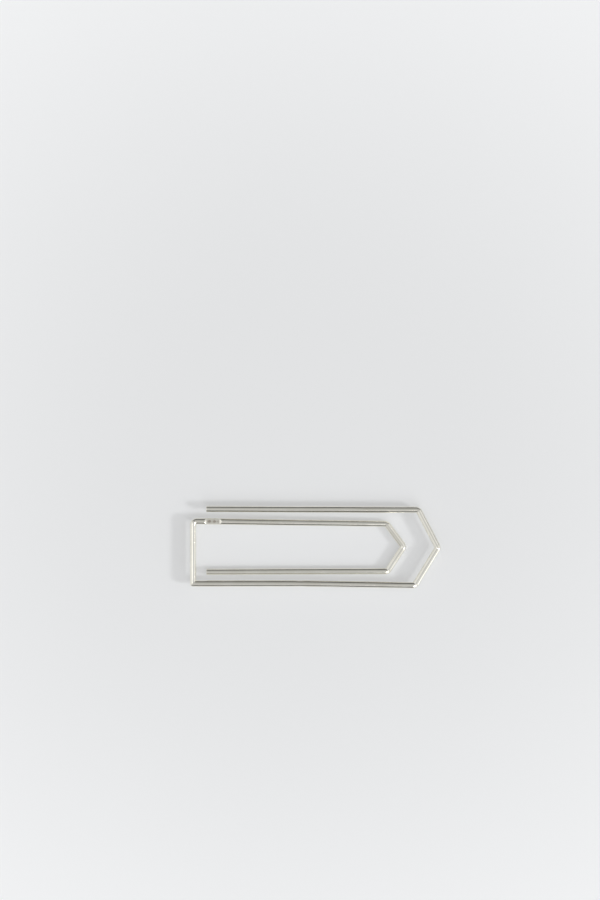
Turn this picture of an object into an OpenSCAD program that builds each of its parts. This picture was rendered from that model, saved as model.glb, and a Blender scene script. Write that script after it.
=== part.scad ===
// Money clip: one length of round silver wire, bent like a pointed paper clip.
// It lies on its tongue. X runs from the square end to the point, Y across the clip, Z up.
// The origin is the middle of the clip's outline, on the surface that it lies on.
// One wire makes the whole clip, so each part here is a named length or bend of it, and the
// lengths meet face to face. The wire flexes at three places, where the solids are parted
// square to the wire, so that one end turns on the other about the wire's own centre line.

/* [Wire] */
// Diameter of the round wire
wire_d = 1.8; // [1.4:0.1:2]
// Radius of each bend on its inside
bend_inside_r = 0.1; // [0.1:0.05:0.5]
// Chamfer around the two cut ends
rim = 0.15; // [0.05:0.05:0.3]

/* [Outer loop] */
// Overall length, from the square end to the point
clip_l = 70; // [62:1:80]
// Height of the free leg's centre line above the middle, at its cut end
free_leg_y = 10.65; // [10.2:0.01:12]
// The same, at its shoulder
free_shoulder_y = 10.44; // [10.2:0.01:12]
// Distance of the lower leg's centre line below the middle, at the square end
lower_leg_y = 10.17; // [9.6:0.01:12]
// The same, at its shoulder
lower_shoulder_y = 10.66; // [10:0.01:12]
// Distance of the outer point below the middle
point_drop = 0.14; // [-0.5:0.01:0.5]
// Slope of the outer point's upper arm, from the clip's length
point_upper_angle = 62.5; // [55:0.5:68]
// Slope of the outer point's lower arm
point_lower_angle = 58.5; // [55:0.5:68]
// Distance from the square end to both cut ends
end_gap = 4.6; // [3.5:0.1:10]

/* [Tongue] */
// Length of the tongue, from the square end to its tip
tongue_l = 60.4; // [45:0.1:61]
// Height of the tongue's upper leg above the middle, at the square end
tongue_root_y = 7.25; // [6:0.01:7.6]
// The same, at its shoulder
tongue_upper_y = 6.48; // [6:0.01:7]
// Distance of the tongue's lower leg below the middle, at its shoulder
tongue_lower_y = 6.78; // [6:0.01:7]
// The same, at its cut end
tongue_end_y = 6.97; // [6:0.01:7]
// Height of the tongue's tip above the middle
tip_rise = 0.08; // [-0.5:0.01:0.5]
// Slope of the tongue's upper arm, from the clip's length
tongue_upper_angle = 53.3; // [50:0.1:60]
// Slope of the tongue's lower arm
tongue_lower_angle = 56.6; // [50:0.1:60]
// How far the tongue is set below the outer loop
tongue_set = 1.1; // [0:0.1:2]

/* [Hallmark flat] */
// Length of the flat pressed into the tongue's leg for a hallmark
flat_l = 4.8; // [3:0.1:6]
// Depth of the flat below the top of the wire
flat_depth = 0.3; // [0.1:0.05:0.4]
// Distance from the square end to the start of the flat
flat_from_end = 4.1; // [3.5:0.1:6]

/* [Hidden] */
$fn = 96;
silver = [0.86, 0.84, 0.8];
worn_silver = [0.8, 0.78, 0.74];
wire_r = wire_d / 2;
bend_r = wire_r + bend_inside_r;
// the lower leg's gentle bow outwards, and where it is along the clip
bow_r = 200;
bow_x = -4.3;
// length of the straight stubs on the one corner that is bent sharp
corner_reach = 1.2;
// length of the lower leg that carries the row of small marks
marked_l = 11.8;

square_x = wire_r - clip_l / 2;
end_x = end_gap - clip_l / 2;
loop_z = wire_r + tongue_set;
tongue_z = wire_r;

// the corner under a bent point whose outside reaches reach, with arms at slopes a and b
function point_x(reach, a, b) = reach - wire_r - bend_r + bend_r / cos(90 - (a + b) / 2);
outer_x = point_x(clip_l / 2, point_upper_angle, point_lower_angle);
tip_x = point_x(tongue_l - clip_l / 2, tongue_upper_angle, tongue_lower_angle);
// where an arm at slope a, rising by y from a point at x, meets its leg
function shoulder_x(x, y, a) = x - y / tan(a);

// The centre line goes straight from corner to corner, from one cut end to the other.
corners = [
    [end_x, free_leg_y, loop_z],
    [shoulder_x(outer_x, free_shoulder_y + point_drop, point_upper_angle), free_shoulder_y, loop_z],
    [outer_x, -point_drop, loop_z],
    [shoulder_x(outer_x, lower_shoulder_y - point_drop, point_lower_angle), -lower_shoulder_y, loop_z],
    [bow_x, -lower_leg_y, loop_z],
    [square_x, -lower_leg_y, loop_z],
    [square_x, tongue_root_y, loop_z],
    [shoulder_x(tip_x, tongue_upper_y - tip_rise, tongue_upper_angle), tongue_upper_y, tongue_z],
    [tip_x, tip_rise, tongue_z],
    [shoulder_x(tip_x, tongue_lower_y + tip_rise, tongue_lower_angle), -tongue_lower_y, tongue_z],
    [end_x, -tongue_end_y, tongue_z]
];
// which corner each bend is at
FREE_END = 0;
FREE_SHOULDER = 1;
POINT = 2;
LOWER_SHOULDER = 3;
BOW = 4;
LOWER_CORNER = 5;
UPPER_CORNER = 6;
TONGUE_SHOULDER = 7;
TIP = 8;
INNER_SHOULDER = 9;
INNER_END = 10;

function unit(v) = v / norm(v);
function radius(i) = i == BOW ? bow_r : bend_r;
// direction of the wire after corner i, and how far it turns there
function heading(i) = unit(corners[i + 1] - corners[i]);
function turn(i) = acos(heading(i - 1) * heading(i));
// distance from corner i to where its bend starts and ends
function setback(i) =
    i == FREE_END || i == INNER_END ? 0 :
    i == LOWER_CORNER ? corner_reach : radius(i) * tan(turn(i) / 2);
function bend_start(i) = corners[i] - heading(i - 1) * setback(i);
function bend_end(i) = corners[i] + heading(i) * setback(i);
// a point a share t of the way along the straight after corner i
function along(i, t) = bend_end(i) * (1 - t) + bend_start(i + 1) * t;

// where the marked length of the lower leg starts
marks_start = bend_start(LOWER_CORNER) - heading(BOW) * marked_l;
// the flat's sloping ends, and where it starts and its length ends past the corner's bend
run_out = flat_depth * 1.5;
flat_at = flat_from_end - clip_l / 2 - bend_end(UPPER_CORNER).x;
flat_end = bend_end(UPPER_CORNER) + heading(UPPER_CORNER) * (flat_at + flat_l + run_out);

// turns a child that runs along +Z so that it runs from point a towards point b
module towards(a, b) {
    d = b - a;
    translate(a)
        rotate([0, acos(d.z / norm(d)), atan2(d.y, d.x)])
            children();
}

// a straight length of wire from point a to point b
module straight(a, b) {
    towards(a, b)
        cylinder(h = norm(b - a), r = wire_r);
}

// a straight length that ends at point b in a chamfered cut
module cut_end(a, b) {
    towards(b, a) {
        cylinder(h = rim, r1 = wire_r - rim, r2 = wire_r);
        translate([0, 0, rim])
            cylinder(h = norm(b - a) - rim, r = wire_r);
    }
}

// the bend at corner i, as part of a ring
module bend(i) {
    before = heading(i - 1);
    after = heading(i);
    normal = unit(cross(before, after));
    centre = corners[i] + unit(after - before) * radius(i) / cos(turn(i) / 2);
    out = unit(bend_start(i) - centre);
    multmatrix([
        [out.x, before.x, normal.x, centre.x],
        [out.y, before.y, normal.y, centre.y],
        [out.z, before.z, normal.z, centre.z]
    ])
        rotate_extrude(angle = turn(i))
            translate([radius(i), 0])
                circle(r = wire_r);
}

// ---- the free leg of the outer loop ----
module outer_leg() {
    color(silver)
        cut_end(bend_start(FREE_SHOULDER), corners[FREE_END]);
}

module outer_leg_shoulder() {
    color(silver)
        bend(FREE_SHOULDER);
}

module outer_leg_arm() {
    color(silver)
        straight(bend_end(FREE_SHOULDER), along(FREE_SHOULDER, 0.5));
}

// ---- the outer loop, from the point round to the bar ----
module point_upper_arm() {
    color(silver)
        straight(along(FREE_SHOULDER, 0.5), bend_start(POINT));
}

module outer_point() {
    color(silver)
        bend(POINT);
}

module point_lower_arm() {
    color(silver)
        straight(bend_end(POINT), bend_start(LOWER_SHOULDER));
}

module lower_shoulder() {
    color(silver)
        bend(LOWER_SHOULDER);
}

module lower_leg() {
    color(silver)
        straight(bend_end(LOWER_SHOULDER), bend_start(BOW));
}

module lower_leg_bow() {
    color(silver)
        bend(BOW);
}

module lower_leg_root() {
    color(silver)
        straight(bend_end(BOW), marks_start);
}

module marked_length() {
    color(worn_silver)
        straight(marks_start, bend_start(LOWER_CORNER));
}

// the one corner that is bent so sharply that its outside is as round as the wire
module lower_corner() {
    color(silver) {
        straight(bend_start(LOWER_CORNER), corners[LOWER_CORNER]);
        translate(corners[LOWER_CORNER])
            sphere(r = wire_r);
        straight(corners[LOWER_CORNER], bend_end(LOWER_CORNER));
    }
}

module bar_lower_half() {
    color(silver)
        straight(bend_end(LOWER_CORNER), along(LOWER_CORNER, 0.5));
}

// ---- the tongue, which the clip lies on ----
module bar_upper_half() {
    color(silver)
        straight(along(LOWER_CORNER, 0.5), bend_start(UPPER_CORNER));
}

module upper_corner() {
    color(silver)
        bend(UPPER_CORNER);
}

// the flat has sloping ends, where the wire swells back to its full roundness
module hallmark_flat() {
    start = bend_end(UPPER_CORNER);
    color(worn_silver)
        difference() {
            straight(start, flat_end);
            towards(start, flat_end)
                rotate([90, 0, 0])
                    linear_extrude(height = wire_d, center = true)
                        polygon([
                            [flat_depth - wire_r, flat_at + run_out],
                            [-flat_depth - wire_r, flat_at - run_out],
                            [-flat_depth - wire_r, flat_at + flat_l + run_out],
                            [flat_depth - wire_r, flat_at + flat_l - run_out]
                        ]);
        }
}

module tongue_leg() {
    color(silver)
        straight(flat_end, bend_start(TONGUE_SHOULDER));
}

module tongue_shoulder() {
    color(silver)
        bend(TONGUE_SHOULDER);
}

module tongue_upper_arm() {
    color(silver)
        straight(bend_end(TONGUE_SHOULDER), bend_start(TIP));
}

module tongue_tip() {
    color(silver)
        bend(TIP);
}

module tongue_lower_arm() {
    color(silver)
        straight(bend_end(TIP), along(TIP, 0.5));
}

// ---- the free leg of the tongue ----
module inner_leg_arm() {
    color(silver)
        straight(along(TIP, 0.5), bend_start(INNER_SHOULDER));
}

module inner_leg_shoulder() {
    color(silver)
        bend(INNER_SHOULDER);
}

module inner_leg() {
    color(silver)
        cut_end(bend_end(INNER_SHOULDER), corners[INNER_END]);
}

outer_leg();
outer_leg_shoulder();
outer_leg_arm();
point_upper_arm();
outer_point();
point_lower_arm();
lower_shoulder();
lower_leg();
lower_leg_bow();
lower_leg_root();
marked_length();
lower_corner();
bar_lower_half();
bar_upper_half();
upper_corner();
hallmark_flat();
tongue_leg();
tongue_shoulder();
tongue_upper_arm();
tongue_tip();
tongue_lower_arm();
inner_leg_arm();
inner_leg_shoulder();
inner_leg();
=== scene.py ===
import math

import bmesh
import bpy
from mathutils import Matrix, Vector


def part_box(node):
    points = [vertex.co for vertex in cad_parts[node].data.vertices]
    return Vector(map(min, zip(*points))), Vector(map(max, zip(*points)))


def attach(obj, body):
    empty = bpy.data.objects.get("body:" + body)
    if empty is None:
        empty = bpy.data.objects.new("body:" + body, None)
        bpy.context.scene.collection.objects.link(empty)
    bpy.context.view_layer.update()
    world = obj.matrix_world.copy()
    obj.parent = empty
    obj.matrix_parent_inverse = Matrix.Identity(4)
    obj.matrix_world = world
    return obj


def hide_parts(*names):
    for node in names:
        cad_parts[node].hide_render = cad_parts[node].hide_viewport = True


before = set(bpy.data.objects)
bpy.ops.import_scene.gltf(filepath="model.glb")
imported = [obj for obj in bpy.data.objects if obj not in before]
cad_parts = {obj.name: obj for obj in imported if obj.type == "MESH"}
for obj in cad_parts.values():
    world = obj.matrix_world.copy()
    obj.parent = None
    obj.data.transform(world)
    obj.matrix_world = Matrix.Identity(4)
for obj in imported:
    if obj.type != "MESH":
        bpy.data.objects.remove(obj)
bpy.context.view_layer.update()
mm = 0.001


# ---- the camera ----
# The clip lies flat on a pale table. It is seen from straight above, small and low in the view, and
# from far enough off that the wire's height hardly shifts it.
camera_height = 600 * mm
view_height = 252 * mm
view_middle = Vector((-4.26 * mm, 27.1 * mm, 0))
bpy.ops.object.camera_add(location=view_middle + Vector((0, 0, camera_height)), rotation=(0, 0, 0))
camera = bpy.context.object
camera.data.lens = camera.data.sensor_width * camera_height / view_height
camera.data.clip_start = 10 * mm
bpy.context.scene.camera = camera
bpy.context.scene.view_settings.view_transform = "Standard"


# ---- the table ----
# A sheet of matt opal acrylic, much larger than the view, with a faint painted glow in its
# surface that keeps shadows on it light. The clip lies loose on it, on its tongue.
def named(sockets, name):
    """The socket in use that has this name or number."""
    if isinstance(name, int):
        return sockets[name]
    return next(socket for socket in sockets if socket.enabled and socket.name == name)


def adder(tree):
    """A function that adds a node to a tree, with its settings, and links or sets its inputs."""
    def add(kind, inputs=(), **settings):
        node = tree.nodes.new(kind)
        for name, value in settings.items():
            setattr(node, name, value)
        for name, value in dict(inputs).items():
            socket = named(node.inputs, name)
            if isinstance(value, bpy.types.NodeSocket):
                tree.links.new(value, socket)
            else:
                socket.default_value = value
        return node
    return add


def node_tree(owner):
    """The emptied node tree of a material or world, and a function that adds a node to it."""
    owner.use_nodes = True
    owner.node_tree.nodes.clear()
    return owner.node_tree, adder(owner.node_tree)


def grey(value, warmth=0.0):
    """A neutral colour, or a slightly warm one."""
    return (value * (1 + warmth), value, value * (1 - warmth), 1)


def rise(add, value, low, high, top=1.0):
    """From 0 up to a top value, smoothly, as a value goes from low to high."""
    ends = {"Value": value, "From Min": low, "From Max": high, "To Max": top}
    return add("ShaderNodeMapRange", ends, interpolation_type="SMOOTHSTEP").outputs["Result"]


table_side = 6
sheet_darker, sheet_paler = grey(0.485, -0.02), grey(0.505, -0.02)
glow_at_middle, glow_at_edge = grey(0.3, 0.006), grey(0.46)
glow_rises_from, glow_rises_to = 30 * mm, 215 * mm

opal = bpy.data.materials.new("opal_acrylic_painted_glow")
tree, add = node_tree(opal)
where = add("ShaderNodeTexCoord").outputs["Object"]
cloudy = add("ShaderNodeTexNoise", {"Vector": where, "Scale": 6, "Detail": 3})
tone = add("ShaderNodeMix", {"Factor": cloudy.outputs["Fac"], "A": sheet_darker, "B": sheet_paler},
           data_type="RGBA")
tooth = add("ShaderNodeTexNoise", {"Vector": where, "Scale": 2600, "Detail": 4})
tooth_bump = add("ShaderNodeBump", {"Height": tooth.outputs["Fac"], "Strength": 0.05,
                                    "Distance": 0.1 * mm})
# the painted glow, which lightens the sheet and the shadows on it, is stronger away from the middle
# of the view
outward = add("ShaderNodeVectorMath", {0: where, 1: view_middle}, operation="DISTANCE")
outward = outward.outputs["Value"]
painted_glow = add("ShaderNodeMix", {"Factor": rise(add, outward, glow_rises_from, glow_rises_to),
                                   "A": glow_at_middle, "B": glow_at_edge}, data_type="RGBA")
# the sheet's emission is the painted glow that lifts its shadows
acrylic = add("ShaderNodeBsdfPrincipled",
              {"Base Color": named(tone.outputs, "Result"), "Roughness": 0.9,
               "Specular IOR Level": 0.0, "Normal": tooth_bump.outputs["Normal"],
               "Emission Strength": 1.0,
               "Emission Color": named(painted_glow.outputs, "Result")})
add("ShaderNodeOutputMaterial", {"Surface": acrylic.outputs["BSDF"]})

bpy.ops.object.select_all(action="DESELECT")
bpy.ops.mesh.primitive_plane_add(size=table_side, location=(0, 0, 0))
table = bpy.context.object
table.name = "table"
table.data.materials.append(opal)


# ---- the light ----
# A pale studio: a bright panel to the left and one to the right, with a dimmer gap between them
# that darkens to the horizon in front and behind. A long window low on the right casts the soft
# shadows, and dim round lamps in front of it fill them.
def maths(add, operation, *values):
    """One sum, by its Blender name, on values or sockets."""
    return add("ShaderNodeMath", dict(enumerate(values)), operation=operation).outputs["Value"]


def tones(add, value, stops):
    """A grey that follows stops of place and tone."""
    ramp = add("ShaderNodeValToRGB", {"Fac": value})
    ramp.color_ramp.interpolation = "EASE"
    for place, tone in stops[1:-1]:
        ramp.color_ramp.elements.new(place)
    for element, (place, tone) in zip(ramp.color_ramp.elements, stops):
        element.position = place
        element.color = grey(tone)
    return ramp.outputs["Color"]


def out_to(azimuth, elevation):
    """The direction at an azimuth and elevation in degrees."""
    a, e = math.radians(azimuth), math.radians(elevation)
    return math.cos(a) * math.cos(e), math.sin(a) * math.cos(e), math.sin(e)


def glow_at(add, toward, azimuth, elevation, radius, core, brightness):
    """A round glow in the room: full out to its core, fading to nothing at its radius."""
    near = add("ShaderNodeVectorMath", {0: toward, 1: out_to(azimuth, elevation)},
               operation="DOT_PRODUCT").outputs["Value"]
    return rise(add, near, math.cos(math.radians(radius)), math.cos(math.radians(core)), brightness)


# places across the gap, from the horizon in front to the horizon behind, and their tones
gap_tones = ((0.0, 0.01), (0.11, 0.01), (0.16, 0.4), (0.3, 0.54), (0.42, 0.6), (0.5, 0.52),
             (0.62, 0.43), (0.8, 0.36), (0.87, 0.01), (1.0, 0.01))
panel_tone = 0.8
panel_dimmed_by = 0.74
backdrop_tone = grey(0.75)
# each lamp's azimuth, elevation, radius and core in degrees, and its brightness
edge_lamp = (-31, 5, 18, 7, 1.2)
bar_lamp = (180, 68, 10, 4, 1.0)
window = ((-13, 25, 5, 2, 40), (-16, 24.5, 5, 2, 40), (-19, 24, 5, 2, 40))
fill_lamps = ((-63, 20, 18, 9, 1.7), (-66, 38, 16, 9, 2.1), (-62, 57, 13, 7, 1.8))


room = bpy.data.worlds.new("pale_studio")
bpy.context.scene.world = room
tree, add = node_tree(room)
toward = add("ShaderNodeTexCoord").outputs["Generated"]
x, y, z = add("ShaderNodeSeparateXYZ", {"Vector": toward}).outputs
front_to_back = maths(add, "MULTIPLY_ADD", maths(add, "ARCTAN2", y, z), 1 / math.pi, 0.5)
gap = tones(add, front_to_back, gap_tones)
# the panels stand well to either side, and the right one dims towards the back
level = maths(add, "MAXIMUM", maths(add, "SUBTRACT", 1.0, maths(add, "MULTIPLY", z, z)), 0.0001)
sideways = maths(add, "DIVIDE", maths(add, "MULTIPLY", x, x), level)
off_centre = rise(add, maths(add, "SUBTRACT", 1.0, z), 0.002, 0.07)
in_panel = maths(add, "MULTIPLY", rise(add, sideways, 0.42, 0.78), off_centre)
back_right = maths(add, "MULTIPLY", rise(add, x, 0.0, 0.2), rise(add, y, 0.1, 0.4))
low_down = maths(add, "SUBTRACT", 1.0, rise(add, z, 0.1, 0.34))
dim = maths(add, "MULTIPLY", back_right, low_down)
panel = maths(add, "MULTIPLY_ADD", dim, -panel_dimmed_by, panel_tone)
wall = add("ShaderNodeMix", {"Factor": in_panel, "A": gap, "B": panel}, data_type="RGBA")
lights = glow_at(add, toward, *edge_lamp)
for lamp in (bar_lamp, *window, *fill_lamps):
    lights = maths(add, "ADD", lights, glow_at(add, toward, *lamp))
all_round = add("ShaderNodeMix", {"Factor": 1.0, "A": named(wall.outputs, "Result"), "B": lights},
                data_type="RGBA", blend_type="ADD")
# the camera sees a plain pale backdrop past the table's edge
seen = add("ShaderNodeLightPath").outputs["Is Camera Ray"]
backdrop = add("ShaderNodeMix", {"Factor": seen, "A": named(all_round.outputs, "Result"),
                                 "B": backdrop_tone}, data_type="RGBA")
glow = add("ShaderNodeBackground", {"Color": named(backdrop.outputs, "Result"), "Strength": 1.0})
add("ShaderNodeOutputWorld", {"Surface": glow.outputs["Background"]})


# ---- the free leg of the outer loop ----
# The clip is one length of round sterling silver wire, drawn, bent by hand over a former and
# polished. It starts at this leg's cut end, filed square with its rim eased, and turns at the
# leg's shoulder into the outer point's upper arm.
section_sides = 72
ring_spacing = 1.5 * mm
bend_step = 2.5  # degrees
bend_flattening = 0.05
touching = 0.0005 * mm
wander_length = 17 * mm
wander_width = 0.06 * mm
bar_low, bar_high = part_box("bar_upper_half")
wire_r = (bar_high.x - bar_low.x) / 2
eased_rim = 0.16 * mm
# a cut end's rings from the rim inwards: how far in each is, and how much it lifts what is inside
dome_rings = ((0.28 * mm, 0.03 * mm), (0.24 * mm, 0.015 * mm))
# how far the wire has been drawn: the middle of its open end, that end's side, up and heading as
# the columns of a matrix, and the length used so far
drawn = {"at": Vector(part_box("outer_leg")[0]), "turned": None, "used": 0.0}


def straight_of(node):
    """The middles of the two end faces of a straight CAD length."""
    corners = {tuple(round(c, 8) for c in v.co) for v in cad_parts[node].data.vertices}
    corners = [Vector(c) for c in corners]
    middle = sum(corners, Vector()) / len(corners)
    far = max(corners, key=lambda c: (c - middle).length) - middle
    halves = [[c for c in corners if side * (c - middle).dot(far) > 0] for side in (-1, 1)]
    near, away = [sum(half, Vector()) / len(half) for half in halves]
    along = (away - near).normalized()
    reach = [(c - near).dot(along) for c in corners]
    return near + along * min(reach), near + along * max(reach)


def onward(node):
    """Where a straight length starts and ends, in the order in which the wire runs."""
    return sorted(straight_of(node), key=lambda end: (end - drawn["at"]).length)


def open_ring(node, radius):
    """Starts a piece with a ring of the wire's section, square to the wire's open end."""
    bpy.ops.object.select_all(action="DESELECT")
    bpy.ops.mesh.primitive_circle_add(vertices=section_sides, radius=radius, location=drawn["at"],
                                      rotation=drawn["turned"].to_euler())
    piece = bpy.context.object
    piece.name = piece.data.name = node + "_wire"
    bpy.ops.object.transform_apply(location=True, rotation=True, scale=True)
    bpy.ops.object.mode_set(mode="EDIT")
    bpy.ops.mesh.select_mode(type="VERT")
    bpy.ops.mesh.select_all(action="SELECT")
    return piece


def draw_to(end, steps=1):
    """Draws the open end straight on to a point."""
    step = (end - drawn["at"]) / steps
    for _ in range(steps):
        bpy.ops.mesh.extrude_region_move(TRANSFORM_OT_translate={"value": step})
    drawn["at"] = end


def ease_rim(opening):
    """The rings of a cut end's eased rim: they swell away from the face, or shrink towards it."""
    arc_steps = 6
    heading = drawn["turned"].col[2]
    swell = [math.sin(math.radians(90 * k / arc_steps)) for k in range(arc_steps + 1)]
    drop = [1 - math.cos(math.radians(90 * k / arc_steps)) for k in range(arc_steps + 1)]
    radii = [wire_r - eased_rim * (1 - s) for s in swell]
    depths = [eased_rim * d for d in drop]
    if not opening:
        radii, depths = radii[::-1], [eased_rim - d for d in depths[::-1]]
    for k in range(arc_steps):
        draw_to(drawn["at"] + heading * (depths[k + 1] - depths[k]))
        bpy.ops.transform.resize(value=(radii[k + 1] / radii[k],) * 3, center_override=drawn["at"])


def dome_face(out):
    """Fills the selected ring and lifts its middle a little, as filing leaves a cut end."""
    bpy.ops.mesh.edge_face_add()
    for width, lift in dome_rings:
        bpy.ops.mesh.inset(thickness=width)
        bpy.ops.transform.translate(value=out * lift)


def pick(piece, wanted):
    """Selects the points of a piece that a test on their place wants."""
    shape = bmesh.from_edit_mesh(piece.data)
    for vertex in shape.verts:
        vertex.select = wanted(vertex.co)
    shape.select_flush(True)
    bmesh.update_edit_mesh(piece.data)


hand_made = bpy.data.textures.new("hand_straightened", "CLOUDS")
hand_made.noise_scale = wander_length
hand_made.cloud_type = "COLOR"
hand_made.noise_depth = 1


def close_wire(piece):
    """Lets a length wander as hand work does, and closes its open ends."""
    bpy.ops.object.mode_set(mode="OBJECT")
    bpy.ops.object.modifier_add(type="DISPLACE")
    wander = piece.modifiers[-1]
    wander.texture = hand_made
    wander.texture_coords = "LOCAL"
    wander.direction = "RGB_TO_XYZ"
    wander.strength = wander_width
    bpy.ops.object.modifier_apply(modifier=wander.name)
    bpy.ops.object.mode_set(mode="EDIT")
    bpy.ops.mesh.select_all(action="SELECT")
    bpy.ops.mesh.fill_holes(sides=0)
    bpy.ops.mesh.select_all(action="SELECT")
    bpy.ops.mesh.normals_make_consistent(inside=False)
    bpy.ops.object.mode_set(mode="OBJECT")


def straight_wire(node, cut=None, end=None, spacing=ring_spacing):
    """A straight length of wire, with its cut end where it has one, and how to unbend it."""
    if drawn["turned"] is None:
        drawn["at"], end = onward(node)
        heading = (end - drawn["at"]).normalized()
        side = Vector((0, 0, 1)).cross(heading).normalized()
        drawn["turned"] = Matrix((side, heading.cross(side), heading)).transposed()
    end = end or onward(node)[1]
    start, turned, used = drawn["at"].copy(), drawn["turned"].copy(), drawn["used"]
    heading = turned.col[2]
    steps = max(2, round((end - start).length / spacing))
    piece = open_ring(node, wire_r - eased_rim if cut == "start" else wire_r)
    if cut == "start":
        ease_rim(opening=True)
    draw_to(end - heading * eased_rim if cut == "end" else end, steps)
    if cut == "start":
        pick(piece, lambda co: (co - start).dot(heading) < 2 * touching)
        dome_face(-heading)
    if cut == "end":
        ease_rim(opening=False)
        dome_face(heading)
    drawn["at"] = end
    drawn["used"] = used + (end - start).length
    return piece, lambda co: turned.transposed() @ (co - start) + Vector((0, 0, used))


def bent_wire(node, onto):
    """A bend onto the next straight length, its section pulled a little flat where it stretches."""
    start, turned, used = drawn["at"].copy(), drawn["turned"].copy(), drawn["used"]
    bend_end, next_end = onward(onto) if isinstance(onto, str) else onto
    before, after = turned.col[2], (next_end - bend_end).normalized()
    axis = before.cross(after).normalized()
    angle = before.angle(after)
    radius = (bend_end - start).length / (2 * math.sin(angle / 2))
    inward = axis.cross(before)
    centre = start + inward * radius
    steps = max(4, round(math.degrees(angle) / bend_step))
    first_step = angle / steps / 8
    piece = open_ring(node, wire_r)
    for part, count in ((first_step, 1), (angle - 2 * first_step, steps), (first_step, 1)):
        bpy.ops.mesh.spin(steps=count, angle=part, center=centre, axis=-axis)
    for k in range(1, steps):
        turn = first_step + (angle - 2 * first_step) * k / steps
        spun = Matrix.Rotation(turn, 3, axis)
        facing = spun @ before
        middle = centre + spun @ (start - centre)
        pick(piece, lambda co: abs((co - middle).dot(facing)) < touching)
        flat = 1 - bend_flattening * math.sin(math.pi * turn / angle)
        across = Matrix((spun @ inward, axis, facing)).transposed()
        bpy.ops.transform.resize(value=(flat, 1, 1), orient_type="GLOBAL", orient_matrix=across,
                                 orient_matrix_type="GLOBAL", center_override=middle)
    spun = Matrix.Rotation(angle, 3, axis)
    drawn["at"] = centre + spun @ (start - centre)
    drawn["turned"] = spun @ turned
    drawn["used"] = used + radius * angle

    def unbend(co):
        q = co - centre
        turn = math.atan2(q.dot(before), -q.dot(inward))
        back = Matrix.Rotation(-turn, 3, axis) @ q + centre - start
        return turned.transposed() @ back + Vector((0, 0, used + radius * turn))
    return piece, unbend


def shader_group(name, inputs, outputs):
    """An empty node group with these inputs and outputs, and a function that adds a node to it."""
    tree = bpy.data.node_groups.new(name, "ShaderNodeTree")
    for label, kind in inputs:
        tree.interface.new_socket(name=label, in_out="INPUT", socket_type=kind)
    for label in outputs:
        tree.interface.new_socket(name=label, in_out="OUTPUT", socket_type="NodeSocketFloat")
    return tree, adder(tree)


# the lines that the drawing die leaves along the wire, from 0 to 1
die_lines, add = shader_group("die_lines", outputs=["Lines"], inputs=[
    ("Vector", "NodeSocketVector"), ("Fineness", "NodeSocketFloat")])
given = add("NodeGroupInput")
along_wire = add("ShaderNodeVectorMath", {0: given.outputs["Vector"], 1: (1, 1, 0.012)},
                 operation="MULTIPLY").outputs["Vector"]
lines = add("ShaderNodeTexNoise", {"Vector": along_wire, "Scale": given.outputs["Fineness"],
                                   "Detail": 2.0, "Roughness": 0.6})
lines = add("ShaderNodeMapRange", {"Value": lines.outputs["Fac"], "From Min": 0.36,
                                   "From Max": 0.64})
add("NodeGroupOutput", {"Lines": lines.outputs["Result"]})

# wear from the pocket: short fine scratches at odd angles, and broad smudges, each from 0 to 1
pocket_wear, add = shader_group("pocket_wear", outputs=["Scratches", "Smudges"], inputs=[
    ("Vector", "NodeSocketVector")])
given = add("NodeGroupInput")
scratches = []
for turn, scale in (((0.5, 0.2, 0.9), 2100), ((-0.7, 0.4, 0.3), 1600), ((0.1, -0.9, -0.5), 2600)):
    laid = add("ShaderNodeMapping", {"Vector": given.outputs["Vector"], "Rotation": turn,
                                     "Scale": (scale * 9, scale, scale / 6)})
    streak = add("ShaderNodeTexNoise", {"Vector": laid.outputs["Vector"], "Scale": 1.0,
                                        "Detail": 0.0})
    scratches.append(add("ShaderNodeMapRange", {"Value": streak.outputs["Fac"], "From Min": 0.69,
                                                "From Max": 0.76}).outputs["Result"])
every = maths(add, "MAXIMUM", maths(add, "MAXIMUM", scratches[0], scratches[1]), scratches[2])
smudge = add("ShaderNodeTexNoise", {"Vector": given.outputs["Vector"], "Scale": 190.0,
                                    "Detail": 3.0, "Distortion": 0.6})
smudge = add("ShaderNodeMapRange", {"Value": smudge.outputs["Fac"], "From Min": 0.42,
                                    "From Max": 0.72})
add("NodeGroupOutput", {"Scratches": every, "Smudges": smudge.outputs["Result"]})

# how much each kind of wear adds to the silver's roughness, and how far it stands or cuts
matt_smudges, matt_scratches, matt_lines = 0.05, 0.1, 0.03
scratch_cut, coarse_line_height = -0.6, 0.8
line_relief, swell_relief = 0.004 * mm, 0.03 * mm


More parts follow.
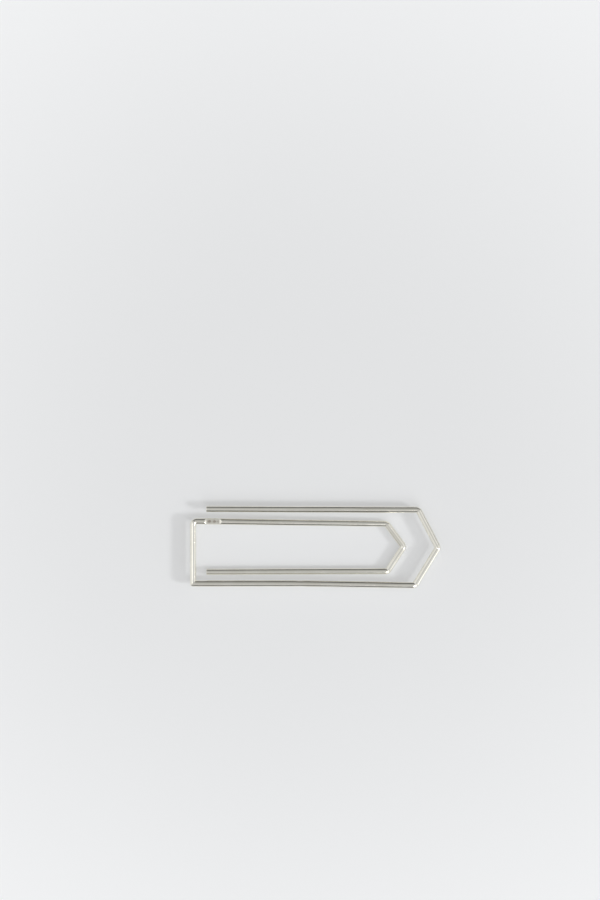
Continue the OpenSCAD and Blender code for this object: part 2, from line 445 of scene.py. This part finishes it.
def silver(name, bright, dull, dullness, roughness, relief):
    """Sterling silver: polished, with the die's lines, pocket wear and a breath of tarnish."""
    material = bpy.data.materials.new(name)
    tree, add = node_tree(material)
    place = add("ShaderNodeAttribute", attribute_name="drawn").outputs["Vector"]
    fine = add("ShaderNodeGroup", {"Vector": place, "Fineness": 9000.0}, node_tree=die_lines)
    coarse = add("ShaderNodeGroup", {"Vector": place, "Fineness": 2600.0}, node_tree=die_lines)
    fine, coarse = fine.outputs["Lines"], coarse.outputs["Lines"]
    wear = add("ShaderNodeGroup", {"Vector": place}, node_tree=pocket_wear)
    smudges, scratched = wear.outputs["Smudges"], wear.outputs["Scratches"]
    # the colour goes from bright to dull with the tarnish, and more so under smudges
    breath = add("ShaderNodeTexNoise", {"Vector": place, "Scale": 75.0, "Detail": 4.0,
                                        "Roughness": 0.6})
    breath = add("ShaderNodeMapRange", {"Value": breath.outputs["Fac"], "From Min": 0.35,
                                        "From Max": 0.75, "To Max": dullness}).outputs["Result"]
    tarnish = maths(add, "MULTIPLY_ADD", smudges, 0.35 * dullness, breath)
    colour = add("ShaderNodeMix", {"Factor": tarnish, "A": bright, "B": dull}, data_type="RGBA")
    # the polish is broken by smudges, scratches and the die's lines
    matt = maths(add, "MULTIPLY_ADD", smudges, matt_smudges, roughness)
    matt = maths(add, "MULTIPLY_ADD", scratched, matt_scratches, matt)
    matt = maths(add, "MULTIPLY_ADD", fine, matt_lines, matt)
    # the relief: lines and scratches, on a slower swell left by straightening
    scored = maths(add, "MULTIPLY_ADD", scratched, scratch_cut, fine)
    grooves = maths(add, "MULTIPLY_ADD", coarse, coarse_line_height, scored)
    surface = add("ShaderNodeBump", {"Height": grooves, "Strength": relief,
                                     "Distance": line_relief})
    swell = add("ShaderNodeTexNoise", {"Vector": place, "Scale": 420.0, "Detail": 1.0})
    surface = add("ShaderNodeBump", {"Height": swell.outputs["Fac"], "Strength": relief,
                                     "Distance": swell_relief, "Normal": surface.outputs["Normal"]})
    metal = add("ShaderNodeBsdfPrincipled",
                {"Base Color": named(colour.outputs, "Result"), "Metallic": 1.0, "Roughness": matt,
                 "Normal": surface.outputs["Normal"]})
    add("ShaderNodeOutputMaterial", {"Surface": metal.outputs["BSDF"]})
    return material


polished = silver("polished_silver", bright=(0.95, 0.938, 0.865, 1), dull=(0.78, 0.745, 0.64, 1),
                  dullness=0.5, roughness=0.045, relief=0.2)


def place_wire(piece, unbend, node, material=polished):
    """Shades a finished piece, notes where each point was on the unbent wire, and hands it over."""
    bpy.ops.object.select_all(action="DESELECT")
    piece.select_set(True)
    bpy.context.view_layer.objects.active = piece
    bpy.ops.object.shade_smooth_by_angle(angle=math.radians(32))
    places = piece.data.attributes.new("drawn", "FLOAT_VECTOR", "POINT")
    for k, vertex in enumerate(piece.data.vertices):
        places.data[k].vector = unbend(vertex.co)
    if not piece.data.materials:
        piece.data.materials.append(material)
    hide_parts(node)


def plain_wire(node, body, onto=None, cut=None):
    """A polished length, or a bend onto the next length, that rides on a body."""
    piece, unbend = bent_wire(node, onto) if onto else straight_wire(node, cut)
    close_wire(piece)
    place_wire(piece, unbend, node)
    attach(piece, body)


plain_wire("outer_leg", "free_leg", cut="start")
plain_wire("outer_leg_shoulder", "free_leg", onto="outer_leg_arm")
plain_wire("outer_leg_arm", "free_leg")


# ---- the outer point ----
# The wire runs down to the point and back in two straight arms, bent round the same small former.
# The free leg's end of the upper arm is where that leg springs.
plain_wire("point_upper_arm", "loop")
plain_wire("outer_point", "loop", onto="point_lower_arm")
plain_wire("point_lower_arm", "loop")


# ---- the lower leg ----
# The longest length of the wire, which ties the point to the square end. It was straightened by
# hand, and bows outwards a little at its middle.
plain_wire("lower_shoulder", "loop", onto="lower_leg")
plain_wire("lower_leg", "loop")
plain_wire("lower_leg_bow", "loop", onto="lower_leg_root")
plain_wire("lower_leg_root", "loop")


# ---- the marked length of the lower leg ----
# The leg's last length before the square end. It carries a row of small plain dots, struck one by
# one with a round punch into its outer side. A little tarnish stays in them.
dots = 13
dot_pitch = 0.72 * mm
first_dot = 0.6 * mm
punch_r = 0.26 * mm
dot_depth = 0.07 * mm
dot_lean = math.radians(44)
marked_spacing = 0.14 * mm
tarnished = silver("tarnished_silver", bright=(0.62, 0.58, 0.52, 1), dull=(0.34, 0.3, 0.25, 1),
                   dullness=0.8, roughness=0.3, relief=0.6)


def strike(piece, punches):
    """Sinks a set of punches into a piece, whose dents keep the punches' own material."""
    bpy.ops.object.select_all(action="DESELECT")
    for punch in punches:
        punch.select_set(True)
        punch.data.materials.append(tarnished)
    bpy.context.view_layer.objects.active = punches[0]
    if len(punches) > 1:
        bpy.ops.object.join()
    bpy.ops.object.select_all(action="DESELECT")
    bpy.context.view_layer.objects.active = piece
    piece.select_set(True)
    bpy.ops.object.modifier_add(type="BOOLEAN")
    blow = piece.modifiers[-1]
    blow.operation = "DIFFERENCE"
    blow.solver = "EXACT"
    blow.material_mode = "TRANSFER"
    blow.object = punches[0]
    bpy.ops.object.modifier_apply(modifier=blow.name)
    bpy.data.objects.remove(punches[0])


outer_side, up, heading = drawn["turned"].col
piece, unbend = straight_wire("marked_length", spacing=marked_spacing)
close_wire(piece)
piece.data.materials.append(polished)
marks_to = drawn["at"].copy()
lean = outer_side * math.sin(dot_lean) + up * math.cos(dot_lean)
punches = []
for k in range(dots):
    at = marks_to - heading * (first_dot + k * dot_pitch) + lean * (wire_r + punch_r - dot_depth)
    bpy.ops.mesh.primitive_uv_sphere_add(segments=24, ring_count=16, radius=punch_r, location=at)
    punches.append(bpy.context.object)
strike(piece, punches)
place_wire(piece, unbend, "marked_length")
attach(piece, "loop")


# ---- the square corner ----
# The one corner of the wire that is bent quite sharp, over the edge of a block: as round outside as
# the wire itself, with a crease inside.
corner_steps = 18


def sharp_corner(node, onto):
    """A corner whose outside is a quarter turn about the corner itself, mitred on the inside."""
    start, turned, used = drawn["at"].copy(), drawn["turned"].copy(), drawn["used"]
    bend_end, next_end = onward(onto)
    before, after = turned.col[2], (next_end - bend_end).normalized()
    axis = before.cross(after).normalized()
    angle = before.angle(after)
    corner = start + before * (bend_end - start).dot(before)
    reach = (corner - start).length
    piece = open_ring(node, wire_r)
    draw_to(corner)
    bpy.ops.mesh.spin(steps=corner_steps, angle=angle, center=corner, axis=-axis)
    drawn["at"] = corner
    draw_to(bend_end)
    mitre = (after - before).normalized() / math.cos(angle / 2)
    shape = bmesh.from_edit_mesh(piece.data)
    for vertex in shape.verts:
        aside = (vertex.co - corner).project(axis)
        level = vertex.co - corner - aside
        inner = min(level.dot(-before), level.dot(after)) > -2 * touching
        if inner and level.length < wire_r * 1.001:
            vertex.co = corner + aside + mitre * level.length
    bmesh.update_edit_mesh(piece.data)
    bpy.ops.mesh.select_all(action="SELECT")
    bpy.ops.mesh.remove_doubles(threshold=touching)
    arc = wire_r * angle / 2
    drawn["turned"] = Matrix.Rotation(angle, 3, axis) @ turned
    drawn["used"] = used + reach * 2 + arc
    turned_after = drawn["turned"].copy()

    def unbend(co):
        q = co - corner
        back, on = -q.dot(before), q.dot(after)
        if back > max(on, 0):
            axes, along = turned, reach - back
        elif on > max(back, 0):
            axes, along = turned_after, reach + arc + on
        else:
            turn = math.atan2(-back, -on)
            q = Matrix.Rotation(-turn, 3, axis) @ q
            axes, along = turned, reach + arc * turn / angle
        return Vector((q.dot(axes.col[0]), q.dot(axes.col[1]), used + along))
    return piece, unbend


piece, unbend = sharp_corner("lower_corner", onto="bar_lower_half")
close_wire(piece)
place_wire(piece, unbend, "lower_corner")
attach(piece, "loop")


# ---- the bar ----
# The short straight across the square end. It twists a little whenever the tongue and the outer
# loop are sprung apart, so its two halves turn on each other about its middle.
plain_wire("bar_lower_half", "loop")
plain_wire("bar_upper_half", "tongue")


# ---- the hallmark flat ----
# Past the upper corner the tongue's leg is pressed flat on top for a hallmark. The marks here are
# plain: an oval, a lozenge and a dot, each struck with its own small punch.
# each mark's place along the flat, its punch's sides, and its half length and half width; lengths
# are in mm
marks = ((1.35, 28, 0.5, 0.34), (2.75, 4, 0.52, 0.46), (3.75, 20, 0.2, 0.2))
mark_depth = 0.07 * mm
punch_taper = 1.25
flat_spacing = 0.15 * mm
end_margin = 0.01 * mm
run_out_slope = 1.5
# the upper corner is bent first, and ends where the flat's solid starts
leg_start, leg_end = sorted(straight_of("tongue_leg"), key=lambda end: end.x)
leg_heading = (leg_end - leg_start).normalized()
solid = [v.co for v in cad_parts["hallmark_flat"].data.vertices]
flat_start = leg_start + leg_heading * min((co - leg_start).dot(leg_heading) for co in solid)
piece, unbend = bent_wire("upper_corner", onto=(flat_start, leg_start))
close_wire(piece)
place_wire(piece, unbend, "upper_corner")
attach(piece, "tongue")

# the flat: the top of each ring is pressed level, and runs out into the round at both ends
used = drawn["used"]
side, up, heading = [axis.copy() for axis in drawn["turned"].col]
from_here = drawn["at"].copy()
piece, unbend = straight_wire("hallmark_flat", end=leg_start, spacing=flat_spacing)
length = (leg_start - from_here).length
pressed = [unbend(co) - Vector((0, 0, used)) for co in solid]
pressed = [p for p in pressed if end_margin < p.z < length - end_margin]
flat_from, flat_to = min(p.z for p in pressed), max(p.z for p in pressed)
flat_level = min(p.y for p in pressed)
run_out = (wire_r - flat_level) * run_out_slope
rings = max(2, round(length / flat_spacing))
for k in range(rings + 1):
    along = length * k / rings
    share = min(along - flat_from, flat_to - along) / run_out
    share = min(max(share, 0), 1)
    level = wire_r - (wire_r - flat_level) * share * share * (3 - 2 * share)
    if share == 0:
        continue
    pick(piece, lambda co: abs((co - from_here).dot(heading) - along) < touching
         and (co - from_here).dot(up) > level)
    bpy.ops.transform.resize(value=(1, 0, 1), orient_type="GLOBAL",
                             orient_matrix=Matrix((side, up, heading)).transposed(),
                             orient_matrix_type="GLOBAL", center_override=from_here + up * level)
close_wire(piece)
piece.data.materials.append(polished)

top = from_here + heading * flat_from + up * (flat_level + mark_depth)
square_to_flat = Matrix((heading, up.cross(heading), up)).transposed().to_euler()
punches = []
for place, sides, half_length, half_width in marks:
    bpy.ops.mesh.primitive_cone_add(vertices=sides, radius1=1 * mm, radius2=punch_taper * mm,
                                    depth=mark_depth * 4, location=top + heading * (place * mm),
                                    rotation=square_to_flat, scale=(half_length, half_width, 1))
    punches.append(bpy.context.object)
strike(piece, punches)
place_wire(piece, unbend, "hallmark_flat")
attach(piece, "tongue")


# ---- the tongue ----
# The inner loop of the wire, bent over a smaller former and set a little below the outer loop, so
# that it presses the notes against it. The clip lies on it.
plain_wire("tongue_leg", "tongue")
plain_wire("tongue_shoulder", "tongue", onto="tongue_upper_arm")
plain_wire("tongue_upper_arm", "tongue")
plain_wire("tongue_tip", "tongue", onto="tongue_lower_arm")
plain_wire("tongue_lower_arm", "tongue")


# ---- the tongue's free leg ----
# The last length of the wire. It springs from the middle of the tongue's lower arm, and runs back
# inside the outer loop to the other cut end, filed like the first.
plain_wire("inner_leg_arm", "tongue_leg_end")
plain_wire("inner_leg_shoulder", "tongue_leg_end", onto="inner_leg")
plain_wire("inner_leg", "tongue_leg_end", cut="end")
